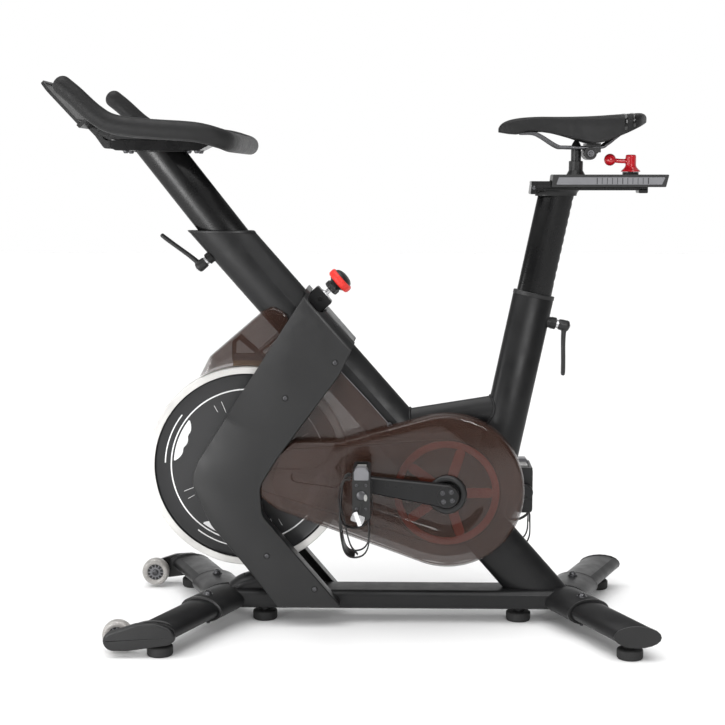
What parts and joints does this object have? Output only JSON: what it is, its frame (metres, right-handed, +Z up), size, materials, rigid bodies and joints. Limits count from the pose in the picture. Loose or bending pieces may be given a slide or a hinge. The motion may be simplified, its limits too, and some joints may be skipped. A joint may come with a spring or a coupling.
{
  "type": "indoor exercise bike",
  "caption": "Indoor exercise bike with a weighted flywheel in a covered fork, belt drive, adjustable saddle and handlebar, and V-shaped stabilisers.",
  "frame": {"origin": "on the floor, halfway along the bike, in its middle plane", "axes": "+X towards the back of the bike, +Y towards the right of the rider, +Z up"},
  "size_m": [1.2223, 0.5414, 1.0911],
  "materials": {
    "frame_paint": "satin black powder coat",
    "gloss_paint": "gloss black",
    "black_plastic": "fine-textured black",
    "crank_paint": "satin black",
    "smoked_plastic": "smoked brown, glossy",
    "rubber": "matt",
    "clear_tyre": "cloudy grey",
    "flywheel_paint": "black paint with a bright machined rim",
    "pulley_paint": "reddish brown",
    "steel": "zinc plated",
    "red_plastic": "red",
    "felt": "dense wool felt",
    "bar_foam": "moulded grip with a fine grain",
    "saddle_cover": "matt black synthetic leather",
    "strap": "black strap"
  },
  "bodies": {
    "frame": {"main_beam": "frame_paint", "seat_tube": "frame_paint", "base_tube": "frame_paint", "front_sleeve": "frame_paint", "rear_sleeve": "frame_paint", "bottom_bracket": "frame_paint", "arm_front_left": "frame_paint", "arm_front_right": "frame_paint", "arm_rear_left": "frame_paint", "arm_rear_right": "frame_paint", "end_cap_front_left": "black_plastic", "end_cap_front_right": "black_plastic", "end_cap_rear_left": "black_plastic", "end_cap_rear_right": "black_plastic", "fork_leg_left": "frame_paint", "fork_leg_right": "frame_paint", "fork_cover_left": "black_plastic", "fork_cover_right": "black_plastic", "guard_left": "smoked_plastic", "guard_right": "smoked_plastic", "inner_shroud_left": "smoked_plastic", "inner_shroud_right": "smoked_plastic", "hood": "smoked_plastic", "knob_housing": "frame_paint", "flywheel_axle": "steel", "drive_belt": "rubber"},
    "foot_front_left": {"foot_front_left": "rubber"},
    "foot_front_right": {"foot_front_right": "rubber"},
    "foot_rear_left": {"foot_rear_left": "rubber"},
    "foot_rear_right": {"foot_rear_right": "rubber"},
    "foot_middle_front": {"foot_middle_front": "rubber"},
    "foot_middle_rear": {"foot_middle_rear": "rubber"},
    "wheel_left": {"wheel_left": "clear_tyre"},
    "wheel_right": {"wheel_right": "clear_tyre"},
    "flywheel": {"flywheel": "flywheel_paint", "flywheel_pulley": "steel"},
    "crank": {"drive_pulley": "pulley_paint", "crank_spindle": "steel", "crank_left": "crank_paint", "crank_right": "crank_paint"},
    "pedal_left": {"pedal_left": "black_plastic", "toe_clip_left": "strap"},
    "pedal_right": {"pedal_right": "black_plastic", "toe_clip_right": "strap"},
    "brake_stem": {"brake_rod": "steel"},
    "brake_knob": {"brake_knob": "black_plastic", "knob_ring": "red_plastic"},
    "brake_arm": {"brake_arm": "steel", "brake_pad": "felt"},
    "handlebar_post": {"handlebar_post": "gloss_paint", "handlebar": "bar_foam", "media_holder": "black_plastic"},
    "clamp_lever_front": {"clamp_lever_front": "black_plastic"},
    "seat_post": {"seat_post": "gloss_paint"},
    "clamp_lever_seat": {"clamp_lever_seat": "black_plastic"},
    "slider_carriage": {"slider_carriage": "black_plastic"},
    "slide_lever": {"slide_lever": "red_plastic"},
    "saddle": {"saddle_clamp": "black_plastic", "saddle_base": "steel", "saddle": "saddle_cover"}
  },
  "joints": [
    {"name": "foot_front_left_height", "type": "slide", "parent": "frame", "child": "foot_front_left", "axis": [0, 0, -1], "range_m": [0, 0.012]},
    {"name": "foot_front_right_height", "type": "slide", "parent": "frame", "child": "foot_front_right", "axis": [0, 0, -1], "range_m": [0, 0.012]},
    {"name": "foot_rear_left_height", "type": "slide", "parent": "frame", "child": "foot_rear_left", "axis": [0, 0, -1], "range_m": [0, 0.012]},
    {"name": "foot_rear_right_height", "type": "slide", "parent": "frame", "child": "foot_rear_right", "axis": [0, 0, -1], "range_m": [0, 0.012]},
    {"name": "foot_middle_front_height", "type": "slide", "parent": "frame", "child": "foot_middle_front", "axis": [0, 0, -1], "range_m": [0, 0.012]},
    {"name": "foot_middle_rear_height", "type": "slide", "parent": "frame", "child": "foot_middle_rear", "axis": [0, 0, -1], "range_m": [0, 0.012]},
    {"name": "wheel_left_roll", "type": "hinge", "parent": "frame", "child": "wheel_left", "pos_m": [-0.453, -0.23, 0.035], "axis": [0, 1, 0], "continuous": true},
    {"name": "wheel_right_roll", "type": "hinge", "parent": "frame", "child": "wheel_right", "pos_m": [-0.453, 0.23, 0.035], "axis": [0, 1, 0], "continuous": true},
    {"name": "flywheel_spin", "type": "hinge", "parent": "frame", "child": "flywheel", "pos_m": [-0.222, 0, 0.3205], "axis": [0, 1, 0], "continuous": true},
    {"name": "crank_spin", "type": "hinge", "parent": "frame", "child": "crank", "pos_m": [0.18, 0, 0.275], "axis": [0, 1, 0], "continuous": true},
    {"name": "pedal_left_spin", "type": "hinge", "parent": "crank", "child": "pedal_left", "pos_m": [0.01187, -0.146, 0.30013], "axis": [0, 1, 0], "continuous": true},
    {"name": "pedal_right_spin", "type": "hinge", "parent": "crank", "child": "pedal_right", "pos_m": [0.34813, 0.146, 0.24987], "axis": [0, 1, 0], "continuous": true},
    {"name": "brake_press", "type": "slide", "parent": "frame", "child": "brake_stem", "axis": [-0.7528, 0, -0.6583], "range_m": [0, 0.0017], "stiffness_N_per_m": 6000, "springref_m": -0.002},
    {"name": "brake_knob_turn", "type": "hinge", "parent": "brake_stem", "child": "brake_knob", "pos_m": [-0.03744, 0, 0.6947], "axis": [0.7528, 0, 0.6583], "continuous": true},
    {"name": "brake_arm_swing", "type": "hinge", "parent": "frame", "child": "brake_arm", "pos_m": [-0.13761, 0, 0.54493], "axis": [0, -1, 0], "range_deg": [0, 0.95]},
    {"name": "handlebar_height", "type": "slide", "parent": "frame", "child": "handlebar_post", "axis": [-0.6157, 0, 0.788], "range_m": [-0.08, 0.04]},
    {"name": "front_clamp_turn", "type": "hinge", "parent": "frame", "child": "clamp_lever_front", "pos_m": [-0.29362, 0, 0.74459], "axis": [0.7528, 0, 0.6583], "range_deg": [-90, 90]},
    {"name": "seat_height", "type": "slide", "parent": "frame", "child": "seat_post", "axis": [0.2045, 0, 0.9789], "range_m": [-0.15, 0.06]},
    {"name": "seat_clamp_turn", "type": "hinge", "parent": "frame", "child": "clamp_lever_seat", "pos_m": [0.39163, 0, 0.61279], "axis": [0.9789, 0, -0.2045], "range_deg": [-90, 90]},
    {"name": "seat_fore_aft", "type": "slide", "parent": "seat_post", "child": "slider_carriage", "axis": [1, 0, 0], "range_m": [-0.03, 0.08]},
    {"name": "slide_lever_turn", "type": "hinge", "parent": "slider_carriage", "child": "slide_lever", "pos_m": [0.54, 0, 0.925], "axis": [0, 0, 1], "range_deg": [-60, 60]},
    {"name": "saddle_tilt", "type": "hinge", "parent": "slider_carriage", "child": "saddle", "pos_m": [0.457, 0, 0.949], "axis": [0, 1, 0], "range_deg": [-5, 5]}
  ],
  "couplings": [
    {"joint": "crank_spin", "follows": "flywheel_spin", "ratio": 0.30476},
    {"joint": "brake_arm_swing", "follows": "brake_press", "rad_per_m": 9.2}
  ]
}
